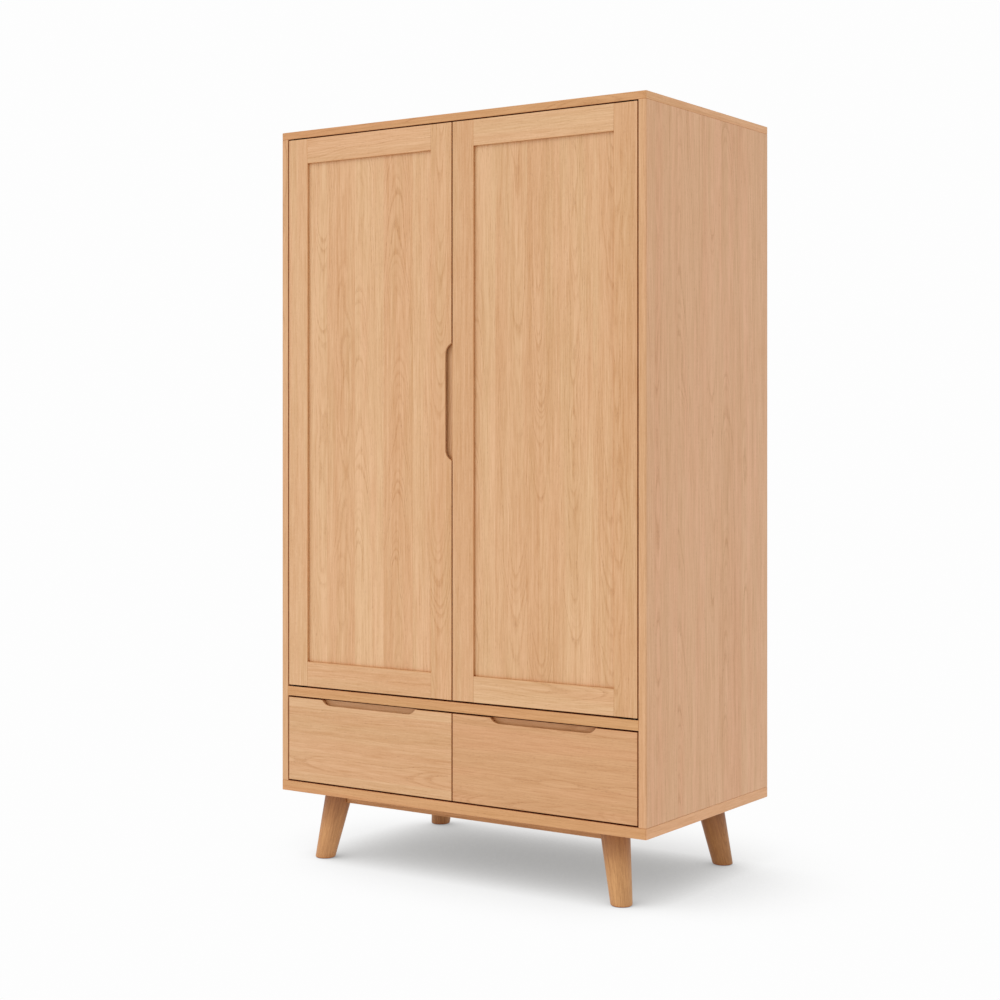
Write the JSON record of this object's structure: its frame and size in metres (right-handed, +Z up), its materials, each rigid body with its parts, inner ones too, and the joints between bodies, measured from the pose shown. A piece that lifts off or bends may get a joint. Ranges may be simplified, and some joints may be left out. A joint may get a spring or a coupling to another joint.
{
  "type": "armoire",
  "caption": "Freestanding oak armoire with frame-and-panel doors, hanging rail and hat shelf, routed finger-pull drawers below, and splayed tapered legs.",
  "frame": {"origin": "on the floor under the middle of the case", "axes": "+X to the right seen from the front, +Y towards the back, +Z up"},
  "size_m": [1.048, 0.6, 1.811],
  "materials": {
    "case_oak": "matt lacquered pale oak, grain upright on the sides and lengthwise on the level boards",
    "door_oak": "matt lacquered pale oak with upright grain and soft cathedral figure",
    "drawer_front_oak": "matt lacquered pale oak with level grain",
    "drawer_box_wood": "bare sanded light wood",
    "plywood": "sanded oak-faced plywood",
    "leg_oak": "satin lacquered turned oak, slightly browner than the case",
    "hinge_steel": "dark bronzed steel",
    "plate_steel": "satin steel",
    "rail_steel": "polished plated oval tube",
    "runner_steel": "zinc plated pressed steel",
    "brown_plastic": "matt moulded plastic"
  },
  "bodies": {
    "case": {"top_panel": "case_oak", "bottom_panel": "case_oak", "left_side_panel": "case_oak", "right_side_panel": "case_oak", "mid_panel": "case_oak", "drawer_divider": "case_oak", "hat_shelf": "case_oak", "back_panel": "plywood", "hanging_rail": "rail_steel", "rail_socket_left": "rail_steel", "rail_socket_right": "rail_steel", "door_catch": "brown_plastic", "left_bottom_pivot": "hinge_steel", "left_top_pivot": "hinge_steel", "left_outer_runner_fixed": "runner_steel", "left_inner_runner_fixed": "runner_steel", "right_bottom_pivot": "hinge_steel", "right_top_pivot": "hinge_steel", "right_outer_runner_fixed": "runner_steel", "right_inner_runner_fixed": "runner_steel", "front_left_leg": "leg_oak", "front_left_leg_plate": "plate_steel", "front_right_leg": "leg_oak", "front_right_leg_plate": "plate_steel", "front_base_rail": "leg_oak", "back_left_leg": "leg_oak", "back_left_leg_plate": "plate_steel", "back_right_leg": "leg_oak", "back_right_leg_plate": "plate_steel", "back_base_rail": "leg_oak"},
    "left_door": {"left_door_outer_stile": "door_oak", "left_door_inner_stile": "door_oak", "left_door_bottom_rail": "door_oak", "left_door_top_rail": "door_oak", "left_door_panel": "door_oak", "left_bottom_hinge_leaf": "hinge_steel", "left_top_hinge_leaf": "hinge_steel", "left_door_strike_plate": "hinge_steel"},
    "right_door": {"right_door_outer_stile": "door_oak", "right_door_inner_stile": "door_oak", "right_door_bottom_rail": "door_oak", "right_door_top_rail": "door_oak", "right_door_panel": "door_oak", "right_bottom_hinge_leaf": "hinge_steel", "right_top_hinge_leaf": "hinge_steel", "right_door_strike_plate": "hinge_steel"},
    "left_drawer": {"left_drawer_front": "drawer_front_oak", "left_drawer_left_side": "drawer_box_wood", "left_drawer_right_side": "drawer_box_wood", "left_drawer_back": "drawer_box_wood", "left_drawer_bottom": "plywood", "left_outer_runner_moving": "runner_steel", "left_inner_runner_moving": "runner_steel"},
    "right_drawer": {"right_drawer_front": "drawer_front_oak", "right_drawer_left_side": "drawer_box_wood", "right_drawer_right_side": "drawer_box_wood", "right_drawer_back": "drawer_box_wood", "right_drawer_bottom": "plywood", "right_outer_runner_moving": "runner_steel", "right_inner_runner_moving": "runner_steel"}
  },
  "joints": [
    {"name": "left_door_hinge", "type": "hinge", "parent": "case", "child": "left_door", "pos_m": [-0.492, -0.293, 0.432], "axis": [0, 0, -1], "range_deg": [0, 110]},
    {"name": "right_door_hinge", "type": "hinge", "parent": "case", "child": "right_door", "pos_m": [0.492, -0.293, 0.432], "axis": [0, 0, 1], "range_deg": [0, 110]},
    {"name": "left_drawer_slide", "type": "slide", "parent": "case", "child": "left_drawer", "axis": [0, -1, 0], "range_m": [0, 0.35]},
    {"name": "right_drawer_slide", "type": "slide", "parent": "case", "child": "right_drawer", "axis": [0, -1, 0], "range_m": [0, 0.35]}
  ]
}
